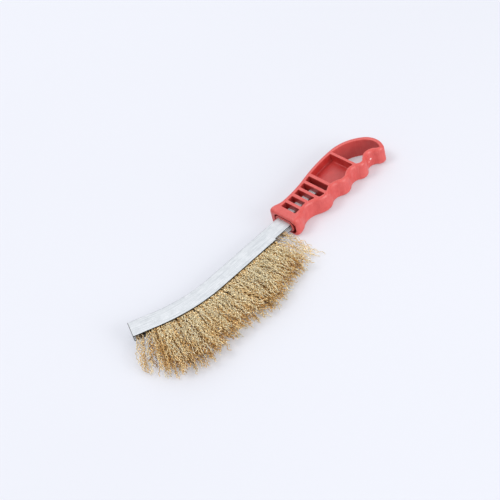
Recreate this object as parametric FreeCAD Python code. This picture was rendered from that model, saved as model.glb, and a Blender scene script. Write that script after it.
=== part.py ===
"""Hand wire brush with a moulded plastic handle, a bent steel channel and a strip of crimped wire.

Millimetres. The brush lies flat: Z = 0 is the surface it rests on, X runs from the channel's free
end (-X) to the handle's end (+X), +Y is the back of the hand, and -Y is the finger and bristle side.
The origin is on the flat underside of the collar, on the brush's centre line.
"""

import FreeCAD
import Part
import math
import os

os.makedirs("parts", exist_ok=True)

V = FreeCAD.Vector
TINY = 1e-6
FAR = 500.0

# --- Handle: overall ---
HANDLE_THICK = 18.0
MID_Z = HANDLE_THICK / 2
FRONT_X = -4.7
EDGE_ROUND = 3.2

# --- Handle: outline, as (x, y) of the crests and hollows, where the edge runs along X ---
BACK_FLARE = (-1.4, 16.1)
BACK_HOLLOW = (9.6, 13.4)
BACK_CREST = (77.5, 21.7)
BACK_HOLLOW_RADIUS = 121.0
END_BIG_RADIUS = 37.4
END_JOIN = math.radians(39.6)
END_RADIUS = 18.9
END_CORNER_RADIUS = 4.0
END_CREST = (103.7, -16.5)
FINGER_WAVE = [
    (92.3, -10.2),
    (81.0, -15.6),
    (70.1, -11.3),
    (57.8, -15.5),
    (46.5, -11.5),
    (35.0, -15.2),
    (15.7, -9.0),
]
FINGER_FLARE = (-1.1, -14.4)

# --- Handle: cavities ---
FINGER_WALL = 3.1
BACK_SHIFT = V(-1.6, -1.2, 0)
WINDOW_COUNT = 5
WINDOW_X = 3.7
WINDOW_WIDTH = 5.5
WINDOW_PITCH = 8.55
FIRST_WINDOW_Y = (-7.6, 9.0)
POCKET_X = (46.5, 74.0)
LOOP_X = (76.7, 108.0)
WEB_THICK = 2.5

# --- Handle: mouth of the collar ---
RECESS_Y = (-12.9, 10.4)
RECESS_Z = (2.4, 15.6)
RECESS_DEPTH = 6.0
RECESS_RADIUS = 4.5
SLEEVE_Y = (-10.6, 9.0)
SLEEVE_Z = (3.8, 14.2)
SLEEVE_RADIUS = 3.4

# --- Steel channel ---
CHANNEL_BACK_Y = 7.4
CHANNEL_DEPTH = 17.2
CHANNEL_THICK = 6.0
SHEET = 0.8
CHANNEL_ROUND = 1.7
BEND_X = -85.0
BEND_RADIUS = 134.5
BEND_ANGLE = math.radians(25)
TAIL = 21.7
SHOULDER_X = 0.4
RELIEF = 1.3
RELIEF_X = -23.3
TANG_DEPTH = 8.1
TANG_END_X = 37.0
FIT = 0.06

# --- Wire strip ---
CORE_RADIUS = 1.0
FOLD_THICK = 1.1
CORE_START = 4.0
CORE_END_GAP = 0.4
BUNDLES = 24
BUNDLE_GAP = 0.25
STRIP_START = 12.0
STRIP_END_GAP = 0.6
WALL_GAP = 0.1
TRIM_HANDLE = 34.5
TRIM_FREE = 49.5
TRIM_FALL = 14.0
FALL_SHARE = 0.18
LEAN_HANDLE = math.radians(5)
LEAN_FREE = math.radians(18)
LEAN_SHARE_HANDLE = 0.3
LEAN_SHARE_FREE = 0.2


# ---------- small helpers ----------

def arc(start, middle, end):
    """A circular edge through three (x, y) points."""
    return Part.Arc(V(*start, 0), V(*middle, 0), V(*end, 0)).toShape()


def line(start, end):
    """A straight edge between two (x, y) points."""
    return Part.makeLine(V(*start, 0), V(*end, 0))


def polar(centre, radius, angle):
    """The (x, y) point at an angle on a circle."""
    return (centre[0] + radius * math.cos(angle), centre[1] + radius * math.sin(angle))


def arc_about(centre, radius, first, last):
    """A circular edge about a centre from one angle to another."""
    middle = (first + last) / 2
    return arc(polar(centre, radius, first), polar(centre, radius, middle), polar(centre, radius, last))


def s_curve(start, end, start_radius=None):
    """Two tangent arcs between points where the outline runs along X. Equal radii unless one is given."""
    dx = end[0] - start[0]
    dy = end[1] - start[1]
    both = (dx * dx + dy * dy) / (2 * abs(dy))
    first = both / 2 if start_radius is None else start_radius
    side = math.copysign(1, dy)
    centre_a = (start[0], start[1] + side * first)
    centre_b = (end[0], end[1] - side * (both - first))
    lean = math.atan2(centre_b[1] - centre_a[1], centre_b[0] - centre_a[0])
    begin_a = -side * math.pi / 2
    turn = (lean - begin_a + math.pi) % (2 * math.pi) - math.pi
    return [
        arc_about(centre_a, first, begin_a, begin_a + turn),
        arc_about(centre_b, both - first, begin_a + turn + math.pi, begin_a + math.pi),
    ]


def prism(face, low, high):
    """A flat face at Z = 0 pushed up to fill low..high."""
    moved = face.copy()
    moved.translate(V(0, 0, low))
    return moved.extrude(V(0, 0, high - low))


def box(x, y, z):
    """A box from three (low, high) pairs."""
    return Part.makeBox(x[1] - x[0], y[1] - y[0], z[1] - z[0], V(x[0], y[0], z[0]))


def rounded_block(x, y, z, radius):
    """A box whose edges along X are rounded."""
    block = box(x, y, z)
    long_edges = [e for e in block.Edges if abs(e.tangentAt(e.FirstParameter).x) > 0.99]
    return block.makeFillet(radius, long_edges)


def save(shape, node):
    """Writes a shape that is one closed solid as its node's STEP file."""
    print(node, "solids", len(shape.Solids), "valid", shape.isValid(), "volume", round(shape.Volume, 1))
    shape.Solids[0].exportStep(os.path.join("parts", node + ".step"))


# ---------- handle ----------

def handle_outline():
    """The handle's outline in plan, as a closed face at Z = 0, drawn clockwise from the collar's front."""
    back_radius = BACK_FLARE[0] - FRONT_X
    back_centre = (BACK_FLARE[0], BACK_FLARE[1] - back_radius)
    finger_radius = FINGER_FLARE[0] - FRONT_X
    finger_centre = (FINGER_FLARE[0], FINGER_FLARE[1] + finger_radius)
    big_centre = (BACK_CREST[0], BACK_CREST[1] - END_BIG_RADIUS)
    end_centre = polar(big_centre, END_BIG_RADIUS - END_RADIUS, END_JOIN)
    fall = END_CREST[1] + END_CORNER_RADIUS - end_centre[1]
    end_turn = math.asin(fall / (END_RADIUS - END_CORNER_RADIUS))
    corner_centre = polar(end_centre, END_RADIUS - END_CORNER_RADIUS, end_turn)
    edges = [arc_about(back_centre, back_radius, math.pi, math.pi / 2)]
    edges += s_curve(BACK_FLARE, BACK_HOLLOW)
    edges += s_curve(BACK_HOLLOW, BACK_CREST, BACK_HOLLOW_RADIUS)
    edges.append(arc_about(big_centre, END_BIG_RADIUS, math.pi / 2, END_JOIN))
    edges.append(arc_about(end_centre, END_RADIUS, END_JOIN, end_turn))
    edges.append(arc_about(corner_centre, END_CORNER_RADIUS, end_turn, -math.pi / 2))
    edges.append(line((corner_centre[0], END_CREST[1]), END_CREST))
    stops = [END_CREST] + FINGER_WAVE + [FINGER_FLARE]
    for start, end in zip(stops, stops[1:]):
        edges += s_curve(start, end)
    edges.append(arc_about(finger_centre, finger_radius, -math.pi / 2, -math.pi))
    edges.append(line((FRONT_X, finger_centre[1]), (FRONT_X, back_centre[1])))
    return Part.Face(Part.Wire(Part.__sortEdges__(edges)))


def cavity_plan(outline):
    """Everything inside the handle's rim: thinner on the finger side, thicker at the back and the end."""
    inset = outline.makeOffset2D(-FINGER_WALL)
    shifted = inset.copy()
    shifted.translate(BACK_SHIFT)
    return Part.Face(inset.common(shifted).Faces[0].OuterWire)


def cavities(outline):
    """The windows, the loop and the two pockets, as solids to cut."""
    plan = cavity_plan(outline)
    room = prism(plan, -1, HANDLE_THICK + 1)
    high = HANDLE_THICK + 1
    tools = []
    for i in range(WINDOW_COUNT):
        start = WINDOW_X + i * WINDOW_PITCH
        wide = FIRST_WINDOW_Y if i == 0 else (-FAR, FAR)
        tools.append(room.common(box((start, start + WINDOW_WIDTH), wide, (-1, high))))
    tools.append(room.common(box(LOOP_X, (-FAR, FAR), (-1, high))))
    tools.append(room.common(box(POCKET_X, (-FAR, FAR), (MID_Z + WEB_THICK / 2, high))))
    tools.append(room.common(box(POCKET_X, (-FAR, FAR), (-1, MID_Z - WEB_THICK / 2))))
    return tools


def collar_recess():
    """The ring-shaped gap in the collar's mouth, around the sleeve that grips the channel."""
    gap = rounded_block((FRONT_X - 9, FRONT_X + RECESS_DEPTH), RECESS_Y, RECESS_Z, RECESS_RADIUS)
    sleeve = rounded_block((FRONT_X, FAR), SLEEVE_Y, SLEEVE_Z, SLEEVE_RADIUS)
    return gap.cut(sleeve)


def sockets():
    """The holes that the channel's end and its tang are pushed into."""
    half = CHANNEL_THICK / 2 + FIT
    z = (MID_Z - half, MID_Z + half)
    back = CHANNEL_BACK_Y + FIT
    low = CHANNEL_BACK_Y - CHANNEL_DEPTH + RELIEF - FIT
    mouth = box((FRONT_X - 9, SHOULDER_X + FIT), (low, back), z)
    tang = box((FRONT_X - 9, TANG_END_X + FIT), (CHANNEL_BACK_Y - TANG_DEPTH - FIT, back), z)
    return mouth.fuse(tang)


def make_handle():
    outline = handle_outline()
    body = prism(outline, 0, HANDLE_THICK)
    rims = [e for e in body.Edges if e.BoundBox.ZLength < TINY]
    body = body.makeFillet(EDGE_ROUND, rims)
    return body.cut(cavities(outline) + [collar_recess(), sockets()])


# ---------- steel channel ----------

BEND_START = SHOULDER_X - BEND_X
BEND_END = BEND_START + BEND_RADIUS * BEND_ANGLE
CHANNEL_LENGTH = BEND_END + TAIL


def path_point(distance, offset):
    """The (x, y) point at a distance from the shoulder and an offset from the channel's middle."""
    middle_y = CHANNEL_BACK_Y - CHANNEL_DEPTH / 2
    if distance <= BEND_START:
        return (SHOULDER_X - distance, middle_y + offset)
    turn = min((distance - BEND_START) / BEND_RADIUS, BEND_ANGLE)
    x, y = polar((BEND_X, middle_y + BEND_RADIUS), BEND_RADIUS - offset, -math.pi / 2 - turn)
    past = max(0.0, distance - BEND_END)
    return (x - past * math.cos(BEND_ANGLE), y + past * math.sin(BEND_ANGLE))


def route(first, last, offset):
    """The straight, bent and straight edges that run along the channel at an offset, at Z = 0."""
    middle = (BEND_START + BEND_END) / 2
    p = [path_point(d, offset) for d in (first, BEND_START, middle, BEND_END, last)]
    return [line(p[0], p[1]), arc(p[1], p[2], p[3]), line(p[3], p[4])]


def band(first, last, low, high):
    """A flat face along the channel, between two distances and between two offsets."""
    ends = [line(path_point(d, low), path_point(d, high)) for d in (first, last)]
    edges = route(first, last, low) + route(first, last, high) + ends
    return Part.Face(Part.Wire(Part.__sortEdges__(edges)))


def make_channel():
    half = CHANNEL_DEPTH / 2
    low = MID_Z - CHANNEL_THICK / 2
    high = MID_Z + CHANNEL_THICK / 2
    tang = SHOULDER_X - TANG_END_X
    outer = prism(band(tang, CHANNEL_LENGTH, -half, half), low, high)
    back_wall = Part.Wire(route(tang, CHANNEL_LENGTH, half)).extrude(V(0, 0, HANDLE_THICK))
    back_edges = []
    for edge in outer.Edges:
        middle = Part.Vertex(edge.valueAt((edge.FirstParameter + edge.LastParameter) / 2))
        if edge.BoundBox.ZLength < TINY and middle.distToShape(back_wall)[0] < TINY:
            back_edges.append(edge)
    outer = outer.makeFillet(CHANNEL_ROUND, back_edges)
    inside = band(tang - 1, CHANNEL_LENGTH + 1, -half - 1, half - SHEET)
    room = prism(inside, low + SHEET, high - SHEET)
    notch = box((SHOULDER_X, TANG_END_X + 1), (-FAR, CHANNEL_BACK_Y - TANG_DEPTH), (-1, HANDLE_THICK))
    relief_y = CHANNEL_BACK_Y - CHANNEL_DEPTH + RELIEF
    relief = box((RELIEF_X, TANG_END_X + 1), (-FAR, relief_y), (-1, HANDLE_THICK))
    return outer.cut([room, notch, relief])


# ---------- wire strip ----------

def make_core(extra=0.0):
    """The wire that every bristle is folded over, all along the channel."""
    offset = CHANNEL_DEPTH / 2 - SHEET - FOLD_THICK - CORE_RADIUS
    spine = Part.Wire(route(CORE_START, CHANNEL_LENGTH - CORE_END_GAP, offset))
    spine.translate(V(0, 0, MID_Z))
    ring = Part.makeCircle(CORE_RADIUS + extra, V(*path_point(CORE_START, offset), MID_Z), V(1, 0, 0))
    return spine.makePipeShell([Part.Wire(ring)], True, False)


def trim_length(share):
    """How far the wires stand out of the channel, from the handle end (0) to the free end (1)."""
    fall = max(0.0, (share - 1 + FALL_SHARE) / FALL_SHARE) ** 2
    return TRIM_HANDLE + (TRIM_FREE - TRIM_HANDLE) * share - TRIM_FALL * fall


def lean(share):
    """How far the wires lean towards the free end, in radians."""
    free_side = max(0.0, (share - 1 + LEAN_SHARE_FREE) / LEAN_SHARE_FREE) ** 2
    handle_side = max(0.0, 1 - share / LEAN_SHARE_HANDLE) ** 1.5
    return LEAN_FREE * free_side - LEAN_HANDLE * handle_side


def strip_line(distance):
    """The root, mouth and tip (x, y) of the wires at a distance along the channel."""
    half = CHANNEL_DEPTH / 2
    root = path_point(distance, half - SHEET - WALL_GAP)
    mouth = path_point(distance, -half)
    share = (distance - STRIP_START) / (CHANNEL_LENGTH - STRIP_END_GAP - STRIP_START)
    angle = math.atan2(mouth[1] - root[1], mouth[0] - root[0]) - lean(share)
    return root, mouth, polar(mouth, trim_length(share), angle)


def upright_rectangle(left, right, low, high):
    """A closed wire through four corners above two (x, y) points."""
    corners = [V(*left, low), V(*right, low), V(*right, high), V(*left, high), V(*left, low)]
    return Part.makePolygon(corners)


def make_bundle(index, core_hole):
    """One stretch of the wire strip: its root inside the channel and its splayed outside part."""
    pitch = (CHANNEL_LENGTH - STRIP_END_GAP - STRIP_START) / BUNDLES
    near = STRIP_START + index * pitch + BUNDLE_GAP / 2
    near_root, near_mouth, near_tip = strip_line(near)
    far_root, far_mouth, far_tip = strip_line(near + pitch - BUNDLE_GAP)
    half = CHANNEL_THICK / 2 - SHEET - WALL_GAP
    low = MID_Z - half
    high = MID_Z + half
    root_end = upright_rectangle(near_root, far_root, low, high)
    mouth_end = upright_rectangle(near_mouth, far_mouth, low, high)
    tip_end = upright_rectangle(near_tip, far_tip, 0.0, HANDLE_THICK)
    root = Part.makeLoft([root_end, mouth_end], True, True)
    outside = Part.makeLoft([mouth_end, tip_end], True, True)
    return root.cut(core_hole).fuse(outside)


def main():
    save(make_handle(), "handle")
    save(make_channel(), "steel_channel")
    save(make_core(), "core_wire")
    core_hole = make_core(WALL_GAP / 2)
    for index in range(BUNDLES):
        save(make_bundle(index, core_hole), "bristle_bundle_%02d" % (index + 1))


main()
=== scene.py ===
"""Looks for the hand wire brush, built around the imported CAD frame. Metres, in the row frame."""

import math

import bpy
import numpy as np
from mathutils import Matrix, Vector
from mathutils.bvhtree import BVHTree


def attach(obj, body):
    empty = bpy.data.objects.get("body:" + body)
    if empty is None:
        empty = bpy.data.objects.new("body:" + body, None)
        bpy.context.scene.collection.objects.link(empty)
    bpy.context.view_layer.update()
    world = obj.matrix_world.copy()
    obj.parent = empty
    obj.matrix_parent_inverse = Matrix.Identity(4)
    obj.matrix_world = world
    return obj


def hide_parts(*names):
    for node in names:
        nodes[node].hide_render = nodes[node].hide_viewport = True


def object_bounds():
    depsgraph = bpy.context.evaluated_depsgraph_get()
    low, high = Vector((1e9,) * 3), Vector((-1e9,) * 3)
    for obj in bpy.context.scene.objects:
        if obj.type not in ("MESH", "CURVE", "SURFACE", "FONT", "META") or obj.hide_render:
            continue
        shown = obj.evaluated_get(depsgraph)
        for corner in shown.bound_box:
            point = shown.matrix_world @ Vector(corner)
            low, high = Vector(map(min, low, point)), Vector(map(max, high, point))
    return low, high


MM = 0.001
SEED = 20

# --- Camera: where it looks from ---
CAMERA_AZIMUTH = math.radians(-33.7)
CAMERA_ELEVATION = math.radians(43.44)
CAMERA_ROLL = math.radians(-16.59)
CAMERA_DISTANCE = 1.1447
CAMERA_LENS = 100.8
CAMERA_AIM = (-42.6 * MM, 2.6 * MM, 9.0 * MM)

# --- Lights: name, place, size of the square in metres, power in watts ---
LIGHTS = [
    ("key_light", (-0.6, 0.55, 1.6), 0.7, 8.8),
    ("back_light", (0.65, 0.95, 1.05), 1.4, 4.4),
    ("front_light", (0.45, -1.9, 0.75), 1.2, 24.0),
]
ROOM_COLOUR = (0.93, 0.95, 1.0, 1.0)
ROOM_LOW, ROOM_HIGH = 0.34, 0.86

# --- Floor ---
FLOOR_HALF = 4.0
FLOOR_GLOW = (0.20, 0.205, 0.215, 1.0)

# --- Handle ---
VOXEL = 0.4 * MM
SMOOTH_TURNS = 3
# Rays and reaches that find where the moulding takes painted shade: deeper up to the end of the windows,
# half as much in the loop.
RAY_LENGTH = 60.0 * MM
RAY_TILT = 0.12
WEB_REACH = 5.5 * MM
WINDOWS_END = 44.0 * MM
LOOP_START = 76.0 * MM
SCUFFS = [
    ((93.6 * MM, -10.8 * MM, 9.6 * MM), 1.3 * MM),
    ((91.3 * MM, -10.9 * MM, 7.9 * MM), 1.0 * MM),
]

# --- Channel: where it runs, as in the CAD; starts, ends and lengths are from the shoulder ---
SHOULDER_X = 0.4 * MM
MIDDLE_Y = -1.2 * MM
HALF_DEPTH = 8.6 * MM
HALF_WIDTH = 3.0 * MM
TANG_DEPTH = 8.1 * MM
TANG_LENGTH = 36.6 * MM
RELIEF = 1.3 * MM
RELIEF_END = 23.7 * MM
BEND_START = 85.4 * MM
BEND_RADIUS = 134.5 * MM
BEND_ANGLE = math.radians(25)
BEND_END = BEND_START + BEND_RADIUS * BEND_ANGLE
FREE_STRAIGHT = 21.7 * MM
CHANNEL_LENGTH = BEND_END + FREE_STRAIGHT

# --- Channel: its sheet ---
SHEET = 0.8 * MM
SHEARED_EDGE = 0.12 * MM
OUTER_ROUND = 1.7 * MM
INNER_ROUND = 0.9 * MM
ROUND_STEPS = 6
BEND_STEPS = 40

# --- Strip: where the wires are folded over the core wire, as in the CAD ---
STRIP_START = 12.0 * MM
STRIP_END = CHANNEL_LENGTH - 0.6 * MM
CORE_GAP = 1.1 * MM
CORE_RADIUS = 1.0 * MM
CORE_OFFSET = HALF_DEPTH - SHEET - CORE_GAP - CORE_RADIUS
FOLD_LOW, FOLD_HIGH = 1.3 * MM, 1.8 * MM

# --- Wires: thickness, crimp and number of points; drift and twist are radians in a metre ---
WIRE_RADIUS = 0.31 * MM
WIRE_SIDES = 3
HAIRPINS = 29
LOCK = 3
LOCK_BLUR = 0.8 * MM
CRIMP_LENGTH = 4.9 * MM
CRIMP_DEPTH = 0.72 * MM
PHASE_DRIFT = 260
TILT, TWIST = 1.3, 18
SAMPLES_IN = 6
SAMPLES_OUT = 84
SAMPLES_FOLD = 8

# --- Wires: how they are trimmed, how full the strip is and how they spread; leans in degrees ---
TRIM_HANDLE = 34.0 * MM
TRIM_GROWTH = 15.0 * MM
TRIM_FALL = 17.0 * MM
FALL_START = 0.78
WORN_DEPTH = 2.5 * MM
WORN_PEAK, WORN_PITCH = 0.38, 0.38
TRIM_OF_LOCK, TRIM_OF_WIRE = 0.05, 0.085
SHORT_BY, SHORT_SHARE = 0.35, 0.2
MOST_TRIM = 1.15
TUFT_END, TUFT_FILL = 0.045, 0.15
FULL_FROM, FULL_OVER = 0.08, 0.045
THIN_FROM, THIN_OVER, THIN_BY = 0.85, 0.1, 0.86
LEAN_FREE, LEAN_HANDLE = 18, 5
AIM_OF_LOCK, AIM_OF_WIRE = 0.02, 0.045
WANDER_LENGTHS = (34.0 * MM, 19.0 * MM, 11.0 * MM)
PLAN_WANDER, RISE_WANDER, CRIMP_WANDER = 0.8 * MM, 0.7 * MM, 1.6 * MM
TIP_BEND = 1.6 * MM
SPREAD = 8.4 * MM
DROOP_LOW, DROOP_HIGH = -8.5 * MM, 2.0 * MM

# --- Wires: painted shade, darker deep inside the bundle and at the mouth, and a darker stretch of the strip ---
MOUTH_HALF = 2.1 * MM
FANNING = 6.5 * MM
DEEP = 4.0 * MM
SUNK_SHADE, MOUTH_SHADE, STRETCH_DIP = 0.86, 0.8, 0.1

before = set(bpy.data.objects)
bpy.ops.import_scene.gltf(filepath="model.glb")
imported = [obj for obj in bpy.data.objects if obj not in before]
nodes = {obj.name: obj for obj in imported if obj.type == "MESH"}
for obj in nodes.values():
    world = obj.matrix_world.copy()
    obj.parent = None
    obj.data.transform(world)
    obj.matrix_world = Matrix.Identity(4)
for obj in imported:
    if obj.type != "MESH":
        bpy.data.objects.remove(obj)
cad_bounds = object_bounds()
MID_Z = round((cad_bounds[0].z + cad_bounds[1].z) / 2, 6)
BUNDLES = sum(name.startswith("bristle_bundle") for name in nodes)


# ---------- mesh helpers ----------

def new_object(name, mesh):
    """A shown object for a mesh."""
    piece = bpy.data.objects.new(name, mesh)
    bpy.context.scene.collection.objects.link(piece)
    return piece


def mesh_from(name, points, groups):
    """A smooth-shaded mesh from points and from groups of faces, each with its own number of corners."""
    mesh = bpy.data.meshes.new(name)
    mesh.vertices.add(len(points))
    mesh.vertices.foreach_set("co", np.asarray(points, np.float32).ravel())
    groups = [np.asarray(group, np.int32) for group in groups]
    sizes = np.concatenate([np.full(len(group), group.shape[1]) for group in groups])
    mesh.loops.add(int(sizes.sum()))
    mesh.loops.foreach_set("vertex_index", np.concatenate([group.ravel() for group in groups]))
    mesh.polygons.add(len(sizes))
    mesh.polygons.foreach_set("loop_start", (np.cumsum(sizes) - sizes).astype(np.int32))
    mesh.update(calc_edges=True)
    mesh.validate()
    mesh.shade_smooth()
    return mesh


def point_values(mesh, name, values):
    """A named value on every vertex, for the materials."""
    attribute = mesh.attributes.new(name, "FLOAT", "POINT")
    attribute.data.foreach_set("value", np.asarray(values, np.float32))


def settle(piece):
    """Applies a piece's modifiers to its mesh."""
    graph = bpy.context.evaluated_depsgraph_get()
    mesh = bpy.data.meshes.new_from_object(piece.evaluated_get(graph), depsgraph=graph)
    piece.modifiers.clear()
    piece.data = mesh


# ---------- material helpers ----------

class Surface:
    """A material with a Principled shader and short calls for the nodes that drive it."""

    def __init__(self, name, **values):
        """values are the shader's own sockets, with underscores for spaces."""
        self.material = bpy.data.materials.new(name)
        self.material.use_nodes = True
        self.tree = self.material.node_tree
        self.shader = self.tree.nodes["Principled BSDF"]
        for key, value in values.items():
            self.shader.inputs[key.replace("_", " ")].default_value = value
        self.place = self.node("ShaderNodeTexCoord").outputs["Object"]

    def node(self, kind, **settings):
        """A new node with some settings."""
        made = self.tree.nodes.new(kind)
        for key, value in settings.items():
            setattr(made, key, value)
        return made

    def join(self, source, target):
        """Links an output to an input."""
        self.tree.links.new(source, target)

    def feed(self, made, key, value):
        """Sets an input to a number, a colour or another node's output."""
        if isinstance(value, bpy.types.NodeSocket):
            self.join(value, made.inputs[key])
        else:
            made.inputs[key].default_value = value

    def stretched(self, scale):
        """The object coordinates with each axis scaled."""
        made = self.node("ShaderNodeMapping")
        self.join(self.place, made.inputs["Vector"])
        made.inputs["Scale"].default_value = scale
        return made.outputs["Vector"]

    def noise(self, size, detail=3.0, roughness=0.5, where=None):
        """Noise whose blobs are about size metres across."""
        made = self.node("ShaderNodeTexNoise")
        self.join(where or self.place, made.inputs["Vector"])
        made.inputs["Scale"].default_value = 1.0 / size
        made.inputs["Detail"].default_value = detail
        made.inputs["Roughness"].default_value = roughness
        return made.outputs["Fac"]

    def ramp(self, value, stops):
        """A colour for each value, from (position, colour) stops."""
        made = self.node("ShaderNodeValToRGB")
        self.join(value, made.inputs["Fac"])
        elements = made.color_ramp.elements
        while len(elements) < len(stops):
            elements.new(0.5)
        for element, (position, colour) in zip(elements, stops):
            element.position = position
            element.color = (*colour, 1.0)
        return made.outputs["Color"]

    def spread(self, value, low, high, to_low, to_high):
        """A value moved from one range to another, and held inside it."""
        made = self.node("ShaderNodeMapRange")
        self.join(value, made.inputs["Value"])
        ends = {"From Min": low, "From Max": high, "To Min": to_low, "To Max": to_high}
        for key, number in ends.items():
            made.inputs[key].default_value = number
        return made.outputs["Result"]

    def combine(self, kind, a, b):
        """Two values put together by one kind of sum."""
        made = self.node("ShaderNodeMath", operation=kind)
        self.feed(made, 0, a)
        self.feed(made, 1, b)
        return made.outputs["Value"]

    def blend(self, share, a, b):
        """Two colours blended by a share."""
        made = self.node("ShaderNodeMix", data_type="RGBA")
        self.feed(made, 0, share)
        for index, value in ((6, a), (7, b)):
            if isinstance(value, bpy.types.NodeSocket):
                self.join(value, made.inputs[index])
            else:
                made.inputs[index].default_value = (*value, 1.0)
        return made.outputs[2]

    def distance_to(self, point):
        """How far the shaded place is from a point."""
        made = self.node("ShaderNodeVectorMath", operation="DISTANCE")
        self.join(self.place, made.inputs[0])
        made.inputs[1].default_value = point
        return made.outputs["Value"]

    def value_of(self, name):
        """A named value of the mesh."""
        return self.node("ShaderNodeAttribute", attribute_name=name).outputs["Fac"]

    def bump(self, height, distance, strength=1.0):
        """Adds a relief of a height map, distance metres deep, over any relief before it."""
        made = self.node("ShaderNodeBump")
        made.inputs["Distance"].default_value = distance
        made.inputs["Strength"].default_value = strength
        self.join(height, made.inputs["Height"])
        before = self.shader.inputs["Normal"].links
        if before:
            self.join(before[0].from_socket, made.inputs["Normal"])
        self.join(made.outputs["Normal"], self.shader.inputs["Normal"])


# ---------- camera, light and floor ----------

def make_camera():
    """A long lens that looks down from the finger side, past the free end, with the head tilted."""
    flat = math.cos(CAMERA_ELEVATION)
    forward = Vector((
        -math.sin(CAMERA_AZIMUTH) * flat,
        math.cos(CAMERA_AZIMUTH) * flat,
        -math.sin(CAMERA_ELEVATION),
    ))
    level = forward.cross(Vector((0, 0, 1))).normalized()
    right = level * math.cos(CAMERA_ROLL) + level.cross(forward) * math.sin(CAMERA_ROLL)
    up = right.cross(forward)
    turn = Matrix((right, up, -forward)).transposed()
    camera = bpy.data.objects.new("camera", bpy.data.cameras.new("camera"))
    camera.data.lens = CAMERA_LENS
    camera.data.sensor_width = 36.0
    camera.data.clip_end = 50.0
    place = Vector(CAMERA_AIM) - forward * CAMERA_DISTANCE
    camera.matrix_world = Matrix.Translation(place) @ turn.to_4x4()
    bpy.context.scene.collection.objects.link(camera)
    bpy.context.scene.camera = camera


def make_light(name, place, size, power):
    """A square soft light that faces the brush."""
    data = bpy.data.lights.new(name, "AREA")
    data.size = size
    data.energy = power
    light = bpy.data.objects.new(name, data)
    light.location = place
    light.rotation_euler = (Vector(CAMERA_AIM) - Vector(place)).to_track_quat("-Z", "Y").to_euler()
    bpy.context.scene.collection.objects.link(light)


def make_room():
    """A pale world that is brighter overhead than at the horizon."""
    world = bpy.data.worlds.new("room")
    bpy.context.scene.world = world
    world.use_nodes = True
    tree = world.node_tree
    room = tree.nodes["Background"]
    room.inputs["Color"].default_value = ROOM_COLOUR
    height = tree.nodes.new("ShaderNodeSeparateXYZ")
    glow = tree.nodes.new("ShaderNodeMapRange")
    way = tree.nodes.new("ShaderNodeTexCoord")
    tree.links.new(way.outputs["Generated"], height.inputs["Vector"])
    tree.links.new(height.outputs["Z"], glow.inputs["Value"])
    glow.inputs["To Min"].default_value = ROOM_LOW
    glow.inputs["To Max"].default_value = ROOM_HIGH
    tree.links.new(glow.outputs["Result"], room.inputs["Strength"])


def make_studio():
    """A pale paper floor, the pale room and three big soft lights."""
    make_room()
    for light in LIGHTS:
        make_light(*light)
    corners = [(x * FLOOR_HALF, y * FLOOR_HALF, 0) for x, y in ((-1, -1), (1, -1), (1, 1), (-1, 1))]
    floor = new_object("floor", mesh_from("floor", corners, [[(0, 1, 2, 3)]]))
    paper = Surface("paper", Roughness=0.85, Emission_Color=FLOOR_GLOW, Emission_Strength=1.0)
    tone = paper.ramp(paper.noise(0.6, 2.0), [(0.3, (0.585, 0.59, 0.63)), (0.7, (0.60, 0.605, 0.645))])
    paper.join(tone, paper.shader.inputs["Base Color"])
    floor.data.materials.append(paper.material)
    bpy.context.scene.view_settings.view_transform = "Standard"


# ---------- materials ----------

def red_plastic():
    """Moulded polypropylene, scuffed: paler where it faces open air, as wear and painted sheen, deeper
    red inside as painted shade, near black in the windows as painted shade, and paler along convex edges
    as painted highlight.
    """
    s = Surface("red_plastic", Specular_IOR_Level=0.65)
    sheen_and_wear = s.value_of("sheen_and_wear")
    cloud = s.noise(0.012, 5.0, 0.6)
    streak = s.noise(0.0012, 4.0, 0.6, s.stretched((1.0, 1.0, 0.12)))
    # Painted shade and sheen: deeper red where faces look at the moulding, paler on open faces, which is
    # partly wear.
    tone = s.blend(sheen_and_wear, (0.475, 0.027, 0.024), (0.655, 0.08, 0.069))
    tone = s.blend(s.spread(cloud, 0.38, 0.66, 0.0, 0.3), tone, (0.78, 0.12, 0.10))
    blot = s.spread(s.noise(0.0035, 4.0, 0.6), 0.45, 0.68, 0.0, 0.35)
    tone = s.blend(blot, tone, (0.56, 0.03, 0.025))
    worn = s.combine("MULTIPLY", sheen_and_wear, s.spread(streak, 0.52, 0.72, 0.0, 0.35))
    tone = s.blend(worn, tone, (0.86, 0.2, 0.18))
    # Painted shade: near black red deep in the narrow windows.
    tone = s.blend(s.spread(s.value_of("painted_window_shade"), 0.4, 1.0, 0.0, 0.4), tone, (0.22, 0.008, 0.008))
    # Painted highlight: paler red along convex edges.
    edge = s.spread(s.node("ShaderNodeNewGeometry").outputs["Pointiness"], 0.5, 0.56, 0.0, 0.4)
    tone = s.blend(edge, tone, (0.88, 0.2, 0.17))
    for place, size in SCUFFS:
        near = s.spread(s.distance_to(place), 0.4 * size, size, 1.0, 0.0)
        near = s.combine("MULTIPLY", near, s.spread(streak, 0.4, 0.5, 0.5, 1.0))
        tone = s.blend(near, tone, (1.0, 0.8, 0.76))
    s.join(tone, s.shader.inputs["Base Color"])
    s.join(s.spread(s.noise(0.004, 4.0), 0.3, 0.7, 0.3, 0.46), s.shader.inputs["Roughness"])
    s.bump(s.noise(0.0006, 2.0), 0.00003)
    s.bump(s.noise(0.012, 2.0), 0.0002, 0.5)
    return s.material


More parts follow.
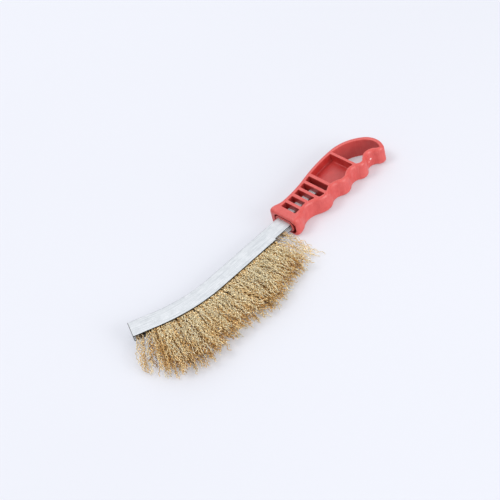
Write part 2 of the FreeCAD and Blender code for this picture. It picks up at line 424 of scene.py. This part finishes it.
def zinc_sheet():
    """Pale zinc-coated sheet: mottled and drawn out along the channel, near black at the sheared edges
    as bare edge and painted shade, and paler with painted light, and less metallic, on the tang and the
    inside, which lie in shade.
    """
    s = Surface("zinc_sheet")
    # Painted light: the tang and the inside, which lie in shade, are paler and less metallic.
    matte_and_painted_light = s.value_of("matte_and_painted_light")
    s.join(s.spread(matte_and_painted_light, 0.0, 1.0, 1.0, 0.1), s.shader.inputs["Metallic"])
    place = s.node("ShaderNodeCombineXYZ")
    s.join(s.value_of("along"), place.inputs["X"])
    s.join(s.value_of("around"), place.inputs["Y"])
    lines = s.node("ShaderNodeMapping")
    s.join(place.outputs["Vector"], lines.inputs["Vector"])
    lines.inputs["Scale"].default_value = (0.03, 1.0, 1.0)
    streak = s.noise(0.0007, 5.0, 0.65, lines.outputs["Vector"])
    mottle = s.noise(0.006, 6.0, 0.68)
    tone = s.ramp(mottle, [
        (0.32, (0.62, 0.64, 0.655)),
        (0.5, (0.73, 0.75, 0.765)),
        (0.68, (0.80, 0.81, 0.825)),
    ])
    tone = s.blend(s.spread(streak, 0.4, 0.54, 0.5, 0.0), tone, (0.46, 0.49, 0.52))
    # Painted light: near white where the inside and the tang lie in shade.
    tone = s.blend(s.spread(matte_and_painted_light, 0.7, 1.0, 0.0, 0.9), tone, (0.94, 0.95, 0.96))
    # Near black on the sheared edges: partly the bare edge, partly painted shade.
    tone = s.blend(s.value_of("sheared_edge_shade"), tone, (0.035, 0.03, 0.028))
    s.join(tone, s.shader.inputs["Base Color"])
    s.join(s.spread(mottle, 0.35, 0.65, 0.5, 0.62), s.shader.inputs["Roughness"])
    s.bump(streak, 0.00002)
    s.bump(s.noise(0.02, 2.0), 0.0002, 0.5)
    return s.material


def brass_wire():
    """Thin crimped wire that goes from brown to pale gold with its tone, which also holds painted shade.
    """
    s = Surface("brass_wire", Metallic=0.6, Specular_IOR_Level=0.2)
    shade = s.combine("ADD", s.value_of("tone_and_shade"), s.spread(s.noise(0.004, 3.0), 0.3, 0.7, -0.15, 0.15))
    tone = s.ramp(shade, [
        (0.0, (0.21, 0.096, 0.018)),
        (0.3, (0.80, 0.49, 0.18)),
        (0.6, (1.0, 0.765, 0.41)),
        (1.0, (1.0, 0.885, 0.61)),
    ])
    s.join(tone, s.shader.inputs["Base Color"])
    s.join(s.spread(s.noise(0.002, 2.0), 0.3, 0.7, 0.22, 0.36), s.shader.inputs["Roughness"])
    return s.material


def drawn_wire():
    """The steel core wire: grey, with fine draw lines along X."""
    s = Surface("drawn_wire", Metallic=1.0)
    grain = s.noise(0.0006, 3.0, 0.6, s.stretched((0.05, 1.0, 1.0)))
    tone = s.ramp(grain, [(0.3, (0.36, 0.36, 0.37)), (0.7, (0.56, 0.56, 0.57))])
    s.join(tone, s.shader.inputs["Base Color"])
    s.join(s.spread(grain, 0.3, 0.7, 0.3, 0.5), s.shader.inputs["Roughness"])
    s.bump(grain, 0.00001)
    return s.material


# ---------- handle ----------

def sheen_and_wear_share(mesh):
    """How open each vertex is, 1 where it faces open air and less where it faces the same moulding, for
    wear and painted sheen outside and painted shade inside, and how much deeper painted shade it takes,
    which is more in the narrow windows."""
    mesh.calc_loop_triangles()
    points = [v.co.copy() for v in mesh.vertices]
    tree = BVHTree.FromPolygons(points, [tuple(t.vertices) for t in mesh.loop_triangles])
    share = np.ones(len(points))
    painted_window_shade = np.zeros(len(points))
    tilts = (Vector((RAY_TILT, 0, 0)), Vector((-RAY_TILT, 0, 0)))
    for index, vertex in enumerate(mesh.vertices):
        away = vertex.normal
        start = vertex.co + away * 0.2 * MM
        faces_in = any(tree.ray_cast(start, away + tilt, RAY_LENGTH)[0] for tilt in tilts)
        sunk = abs(away.z) > 0.2 and abs(vertex.co.z - MID_Z) < WEB_REACH
        # Faces that look at the moulding take painted shade, half as much in the loop, and more up to
        # the end of the windows.
        if faces_in or sunk:
            share[index] = 0.5 if vertex.co.x > LOOP_START else 0.0
            painted_window_shade[index] = vertex.co.x < WINDOWS_END
    edges = np.array([e.vertices[:] for e in mesh.edges])
    for _ in range(3):
        total = share.copy()
        number = np.ones(len(share))
        for a, b in ((0, 1), (1, 0)):
            np.add.at(total, edges[:, a], share[edges[:, b]])
            np.add.at(number, edges[:, a], 1)
        share = total / number
    return share, painted_window_shade * (1 - share)


def make_handle(material):
    """The moulding, with the sharp inner edges of the CAD solid softened as a mould leaves them."""
    piece = new_object("handle_moulding", nodes["handle"].data.copy())
    remesh = piece.modifiers.new("even", "REMESH")
    remesh.mode = "VOXEL"
    remesh.voxel_size = VOXEL
    smooth = piece.modifiers.new("soften", "SMOOTH")
    smooth.factor = 0.5
    smooth.iterations = SMOOTH_TURNS
    settle(piece)
    # Painted sheen and shade of the moulding, and where its wear shows.
    sheen_and_wear, painted_window_shade = sheen_and_wear_share(piece.data)
    point_values(piece.data, "sheen_and_wear", sheen_and_wear)
    point_values(piece.data, "painted_window_shade", painted_window_shade)
    piece.data.materials.clear()
    piece.data.materials.append(material)
    piece.data.shade_smooth()
    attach(piece, "root")
    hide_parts("handle")


# ---------- channel ----------

def path_points(distance, offset):
    """The (x, y) points at distances from the shoulder and offsets from the channel's middle."""
    distance, offset = np.broadcast_arrays(distance, offset)
    turn = np.clip((distance - BEND_START) / BEND_RADIUS, 0.0, BEND_ANGLE)
    before = np.minimum(distance, BEND_START)
    past = np.maximum(distance - BEND_END, 0.0)
    reach = BEND_RADIUS - offset
    x = SHOULDER_X - before - reach * np.sin(turn) - past * np.cos(turn)
    y = MIDDLE_Y + BEND_RADIUS - reach * np.cos(turn) + past * np.sin(turn)
    return np.stack([x, y], -1)


def half_profile(skin, corner, depth):
    """(offset, height above the middle) points from the mouth to the middle of the back, on one side."""
    lip = SHEARED_EDGE
    back = HALF_DEPTH - skin
    mouth = HALF_DEPTH - depth
    high = HALF_WIDTH - skin
    inward = 1 if skin else -1
    points = [
        (mouth, high + inward * lip),
        (mouth + lip, high),
        (mouth + 2.5 * lip, high),
        ((mouth + back - corner) / 2, high),
    ]
    for i in range(ROUND_STEPS + 1):
        angle = math.pi / 2 * (1 - i / ROUND_STEPS)
        across = back - corner + corner * math.cos(angle)
        up = high - corner + corner * math.sin(angle)
        points.append((across, up))
    points.append((back, 0.0))
    return points


def u_profile(skin, corner, depth):
    """The whole outline on one side of the sheet, from the upper lip round the back to the lower lip."""
    upper = half_profile(skin, corner, depth)
    lower = [(offset, -height) for offset, height in reversed(upper[:-1])]
    return np.array(upper + lower)


def sheet_faces(rings, total):
    """Faces of a bent sheet, given as rings of points: its skin, and a cap on each cut end."""
    start = np.arange(rings - 1)[:, None] * total
    here = start + np.arange(total)
    beside = start + (np.arange(total) + 1) % total
    skin = np.stack([here, beside, beside + total, here + total], -1).reshape(-1, 4)
    left = np.arange(total // 2 - 1)
    cap = np.stack([left, total - 1 - left, total - 2 - left, left + 1], -1)
    return np.concatenate([skin, cap, cap[:, ::-1] + (rings - 1) * total])


def swept_sheet(distances, depth, cut_end_shade=0.0, matte_and_painted_light=(0.0, 0.0)):
    """Points, faces and named values of a bent sheet that runs through some distances. The third
    argument is how dark its last edge is painted, as sheared edge and painted shade, and the fourth is
    how matte and how pale with painted light the outside and the inside are."""
    outer = u_profile(0.0, OUTER_ROUND, depth)
    inner = u_profile(SHEET, INNER_ROUND, depth)
    count = len(outer)
    ring = np.concatenate([outer, inner[::-1]])
    steps = np.linalg.norm(np.diff(outer, axis=0), axis=1)
    round_it = np.concatenate([[0.0], np.cumsum(steps)])
    around = np.concatenate([round_it, round_it[::-1]])
    distances = np.asarray(distances)
    plan = path_points(distances[:, None], ring[None, :, 0])
    height = np.broadcast_to(MID_Z + ring[:, 1], plan.shape[:2])
    points = np.concatenate([plan, height[..., None]], -1).reshape(-1, 3)
    total = len(ring)
    # The lips and, as given, the cut end are painted near black, partly as sheared edge and partly as
    # painted shade.
    sheared_edge_shade = np.zeros((len(distances), total))
    lips = [0, count - 1, count, total - 1]
    sheared_edge_shade[:, lips] = 1.0
    sheared_edge_shade[-2:] = np.maximum(sheared_edge_shade[-2:], cut_end_shade)
    # Painted light on the outside and the inside, as given.
    matte_and_painted_light_ring = np.where(np.arange(total) < count, *matte_and_painted_light)
    return points, sheet_faces(len(distances), total), {
        "along": np.repeat(distances, total),
        "around": np.tile(around, len(distances)),
        "sheared_edge_shade": sheared_edge_shade.ravel(),
        "matte_and_painted_light": np.tile(matte_and_painted_light_ring, len(distances)),
    }


def make_channel(material):
    """The bent channel and its tang, both folded from one sheet."""
    edge = SHEARED_EDGE
    tang_run = [-TANG_LENGTH, -TANG_LENGTH + edge, -edge, 0.0]
    neck_run = [0.0, edge, RELIEF_END - edge, RELIEF_END]
    bend = np.linspace(BEND_START, BEND_END, BEND_STEPS + 1)
    free_end = [CHANNEL_LENGTH - 5 * edge, CHANNEL_LENGTH - 4 * edge, CHANNEL_LENGTH]
    body_run = np.concatenate([[RELIEF_END, RELIEF_END + edge], bend, free_end])
    # The tang and the inside of the neck take painted light where they lie in shade.
    tang = swept_sheet(tang_run, TANG_DEPTH, matte_and_painted_light=(0.7, 1.0))
    neck = swept_sheet(neck_run, 2 * HALF_DEPTH - RELIEF, matte_and_painted_light=(0.0, 1.0))
    # The free end's cut edge is painted dark, partly sheared edge and partly painted shade.
    body = swept_sheet(body_run, 2 * HALF_DEPTH, cut_end_shade=0.7)
    parts = [tang, neck, body]
    starts = np.cumsum([0] + [len(part[0]) for part in parts])
    points = np.concatenate([part[0] for part in parts])
    faces = np.concatenate([part[1] + start for part, start in zip(parts, starts)])
    mesh = mesh_from("channel_sheet", points, [faces])
    for name in ("along", "around", "sheared_edge_shade", "matte_and_painted_light"):
        point_values(mesh, name, np.concatenate([part[2][name] for part in parts]))
    mesh.set_sharp_from_angle(angle=math.radians(50))
    piece = new_object("channel_sheet", mesh)
    mesh.materials.append(material)
    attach(piece, "root")
    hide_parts("steel_channel")


def paint_core(material):
    """The core wire is shown as it is in CAD."""
    core = nodes["core_wire"]
    core.data.materials.clear()
    core.data.materials.append(material)


# ---------- wires ----------

def smooth_step(value):
    """0 up to 0, 1 from 1 on, and a soft step between them."""
    value = np.clip(value, 0.0, 1.0)
    return value * value * (3 - 2 * value)


def trim_length(share):
    """How far the wires stand out of the channel, from the handle end (0) to the free end (1)."""
    fall = np.maximum(0.0, (share - FALL_START) / (1 - FALL_START)) ** 2
    worn = WORN_DEPTH * np.cos(2 * math.pi * (share - WORN_PEAK) / WORN_PITCH)
    return TRIM_HANDLE + TRIM_GROWTH * share - TRIM_FALL * fall + worn


def lean(share):
    """How far the wires lean towards the free end, in radians."""
    free_side = np.maximum(0.0, (share - 0.8) / 0.2) ** 2
    handle_side = np.maximum(0.0, 1 - share / 0.3) ** 1.5
    return np.radians(LEAN_FREE * free_side - LEAN_HANDLE * handle_side)


def fill(share):
    """How full the strip is: a tuft by the handle, a gap, all full, and thin again at the free end."""
    tuft = TUFT_FILL * (share < TUFT_END)
    begins = smooth_step((share - FULL_FROM) / FULL_OVER)
    thins = smooth_step((share - THIN_FROM) / THIN_OVER)
    return tuft + begins * (1 - THIN_BY * thins)


def unit(vectors):
    """Vectors of the same directions, 1 long."""
    return vectors / np.linalg.norm(vectors, axis=-1, keepdims=True)


def by_lock(values, locks, rng, own):
    """One value for each lock of wires, with a small difference of its own for each wire."""
    return values[locks] + rng.normal(0, own, (len(locks), 1))


def wander(rng, where, locks, size):
    """Slow random bends along each wire, as three waves of different lengths that its lock shares."""
    total = 0.0
    groups = locks.max() + 1
    for length in WANDER_LENGTHS:
        phase = by_lock(rng.uniform(0, 2 * math.pi, (groups, 1)), locks, rng, 0.3)
        swing = size * length / WANDER_LENGTHS[0]
        depth = by_lock(swing * rng.normal(0, 1, (groups, 1)), locks, rng, 0.2 * swing)
        total = total + depth * (np.sin(2 * math.pi * where / length + phase) - np.sin(phase))
    return total * (where > 0)


def lock_numbers(rng, distance):
    """Which lock each wire belongs to: wires that stand near each other share one."""
    blurred = distance + rng.normal(0, LOCK_BLUR, len(distance))
    return np.argsort(np.argsort(blurred)) // LOCK


def aims(rng, inward, share, locks):
    """The direction that each wire takes out of the channel, and the direction across it."""
    groups = locks.max() + 1
    own = by_lock(rng.normal(0, AIM_OF_LOCK, (groups, 1)), locks, rng, AIM_OF_WIRE)
    turn = -lean(share) + own[:, 0]
    cos, sin = np.cos(turn), np.sin(turn)
    ahead_x = inward[:, 0] * cos - inward[:, 1] * sin
    ahead_y = inward[:, 0] * sin + inward[:, 1] * cos
    return np.stack([ahead_x, ahead_y], -1), np.stack([-ahead_y, ahead_x], -1)


def leg_lengths(rng, share, locks):
    """How long each leg is outside the channel: uneven, and now and then a lot shorter."""
    count = len(locks)
    uneven = rng.normal(0, TRIM_OF_LOCK, locks.max() + 1)[locks] + rng.normal(0, TRIM_OF_WIRE, count)
    short = SHORT_BY * rng.random(count) * (rng.random(count) < SHORT_SHARE)
    return trim_length(share) * np.minimum(1.0 + uneven - short, MOST_TRIM)


def tip_rises(rng, share, locks, side):
    """How far each tip is above the middle: to its own side, or hanging at both ends of the strip."""
    groups = locks.max() + 1
    rises = side * SPREAD * rng.random(groups)[locks] ** 0.8 + rng.normal(0, 0.5 * MM, len(locks))
    droop = np.maximum(share < 0.06, smooth_step((share - 0.82) / 0.15))
    return rises * (1 - droop) + droop * rng.uniform(DROOP_LOW, DROOP_HIGH, groups)[locks]


def crimps(rng, where, locks):
    """How far the crimp moves each point of each leg, along the strip and upwards."""
    groups = locks.max() + 1
    phase = by_lock(rng.uniform(0, 2 * math.pi, (groups, 1)), locks, rng, 0.35)
    phase = phase + PHASE_DRIFT * wander(rng, where, locks, CRIMP_WANDER)
    pitch = CRIMP_LENGTH * by_lock(rng.uniform(0.8, 1.25, (groups, 1)), locks, rng, 0.01)
    depth = CRIMP_DEPTH * by_lock(rng.uniform(0.7, 1.3, (groups, 1)), locks, rng, 0.08)
    depth = depth * smooth_step((where + 2 * MM) / (5 * MM))
    tilt = by_lock(rng.uniform(-TILT, TILT, (groups, 1)), locks, rng, 0.15)
    tilt = tilt + by_lock(rng.normal(0, TWIST, (groups, 1)), locks, rng, 3) * where
    wave = depth * np.sin(2 * math.pi * where / pitch + phase)
    return wave * np.cos(tilt), wave * np.sin(tilt)


def leg_lines(rng, distance, fold, side):
    """Centre lines of legs from the fold to the tip, with crimps and bends outside the channel."""
    count = len(distance)
    locks = lock_numbers(rng, distance)
    share = (distance - STRIP_START) / (STRIP_END - STRIP_START)
    mouth = path_points(distance, -HALF_DEPTH + RELIEF * (distance < RELIEF_END))
    start = path_points(distance, CORE_OFFSET)
    ahead, across = aims(rng, unit(mouth - start), share, locks)
    inside = np.linspace(0, 1, SAMPLES_IN, endpoint=False)
    outside = np.linspace(0, 1, SAMPLES_OUT)
    run = outside * leg_lengths(rng, share, locks)[:, None]
    bend = rng.normal(0, TIP_BEND, (count, 1)) * outside**2
    bend = bend + wander(rng, run, locks, PLAN_WANDER)
    plan_in = start[:, None] + (mouth - start)[:, None] * inside[:, None]
    plan_out = mouth[:, None] + ahead[:, None] * run[..., None] + across[:, None] * bend[..., None]
    root = (side * fold)[:, None]
    tip = tip_rises(rng, share, locks, side)[:, None]
    rise_in = np.repeat(root, SAMPLES_IN, 1)
    rise_out = root + (tip - root) * outside**1.1 + wander(rng, run, locks, RISE_WANDER)
    where_in = (inside - 1) * np.ones((count, 1)) * 2 * HALF_DEPTH
    sideways, upwards = crimps(rng, np.concatenate([where_in, run], 1), locks)
    plan = np.concatenate([plan_in, plan_out], 1) + across[:, None] * sideways[..., None]
    rise = np.concatenate([rise_in, rise_out], 1) + upwards
    height = np.clip(MID_Z + rise, 1.3 * WIRE_RADIUS, 2 * MID_Z + 1 * MM)
    return np.concatenate([plan, height[..., None]], -1)


def tubes(lines, radius):
    """Points and faces of thin tubes along centre lines, closed at both ends."""
    count, samples = lines.shape[:2]
    forward = unit(np.gradient(lines, axis=1))
    along_strip = np.zeros_like(forward)
    ends = lines[:, -1] - lines[:, 0]
    along_strip[..., 0] = -ends[:, None, 1]
    along_strip[..., 1] = ends[:, None, 0]
    side = unit(np.cross(forward, unit(along_strip)))
    up = np.cross(side, forward)
    angles = 2 * math.pi * np.arange(WIRE_SIDES) / WIRE_SIDES
    ring = side[:, :, None] * np.cos(angles)[:, None] + up[:, :, None] * np.sin(angles)[:, None]
    points = lines[:, :, None] + radius[:, None, None, None] * ring
    first = np.arange(count)[:, None, None] * samples * WIRE_SIDES
    step = np.arange(samples - 1)[None, :, None] * WIRE_SIDES
    corner = np.arange(WIRE_SIDES)[None, None]
    here = first + step + corner
    beside = first + step + (corner + 1) % WIRE_SIDES
    faces = np.stack([here, beside, beside + WIRE_SIDES, here + WIRE_SIDES], -1).reshape(-1, 4)
    start = first[:, 0] + np.arange(WIRE_SIDES)[::-1]
    end = first[:, 0] + (samples - 1) * WIRE_SIDES + np.arange(WIRE_SIDES)
    return points.reshape(-1, 3), faces, np.concatenate([start, end])


def wire_tints(rng, lines, share, fullness):
    """How bright each point of each wire is: browner with painted shade deep inside the bundle and at
    the mouth, and darker over a stretch from about six to nine tenths of the way to the free end.
    """
    outside = np.linspace(0, 1, SAMPLES_OUT)
    hidden = np.zeros(lines.shape[1] - 2 * SAMPLES_OUT)
    reach = np.concatenate([outside[::-1], hidden, outside])
    half = MOUTH_HALF + FANNING * reach
    depth = np.clip((half - np.abs(lines[..., 2] - MID_Z)) / DEEP, 0, 1)
    own = rng.beta(1.8, 1.8, len(lines))[:, None]
    # Painted shade at the mouth.
    mouth = MOUTH_SHADE * (1 - own) * (1 - smooth_step(reach / 0.2))
    # Darker over a stretch of the strip towards the free end.
    dull = STRETCH_DIP * smooth_step((share - 0.6) / 0.12) * (1 - smooth_step((share - 0.84) / 0.05))
    # Painted shade deep inside the bundle, less in sparse stretches.
    sunk = SUNK_SHADE * fullness * depth * (1 - 0.3 * reach)
    return (0.42 + 0.25 * fullness + 0.76 * own - sunk - mouth - dull).ravel()


def make_bundle(index, rng, material):
    """One stretch of the strip: hairpin wires folded over the core, both legs out through the mouth."""
    pitch = (STRIP_END - STRIP_START) / BUNDLES
    share = (index + 0.5) / BUNDLES
    count = max(3, int(round(HAIRPINS * fill(share))))
    fullness = min(1.0, 1.6 * fill(share))
    distance = STRIP_START + pitch * (index + rng.uniform(0.03, 0.97, count))
    fold = rng.uniform(FOLD_LOW, FOLD_HIGH, count)
    upper = leg_lines(rng, distance, fold, 1)
    lower = leg_lines(rng, distance, fold, -1)
    centre = np.concatenate([path_points(distance, CORE_OFFSET), np.full((count, 1), MID_Z)], -1)
    back = np.concatenate([path_points(distance, HALF_DEPTH), np.full((count, 1), MID_Z)], -1)
    outward = unit(back - centre)
    angle = np.pi * np.arange(1, SAMPLES_FOLD) / SAMPLES_FOLD
    over = centre[:, None] + outward[:, None] * (fold[:, None] * np.sin(angle))[..., None]
    over[..., 2] += fold[:, None] * np.cos(angle)
    lines = np.concatenate([upper[:, ::-1], over, lower], 1)
    radius = (0.92 + 0.08 * fullness) * WIRE_RADIUS * rng.uniform(0.92, 1.08, count)
    points, faces, ends = tubes(lines, radius)
    mesh = mesh_from("wires_%02d" % (index + 1), points, [faces, ends])
    # Each wire's own tone, with painted shade.
    point_values(mesh, "tone_and_shade", np.repeat(wire_tints(rng, lines, share, fullness), WIRE_SIDES))
    mesh.materials.append(material)
    piece = new_object(mesh.name, mesh)
    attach(piece, "root")
    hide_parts("bristle_bundle_%02d" % (index + 1))


# ---------- everything ----------

make_studio()
make_camera()
make_handle(red_plastic())
make_channel(zinc_sheet())
paint_core(drawn_wire())
wire_material = brass_wire()
wire_rng = np.random.default_rng(SEED)
for bundle in range(BUNDLES):
    make_bundle(bundle, wire_rng, wire_material)
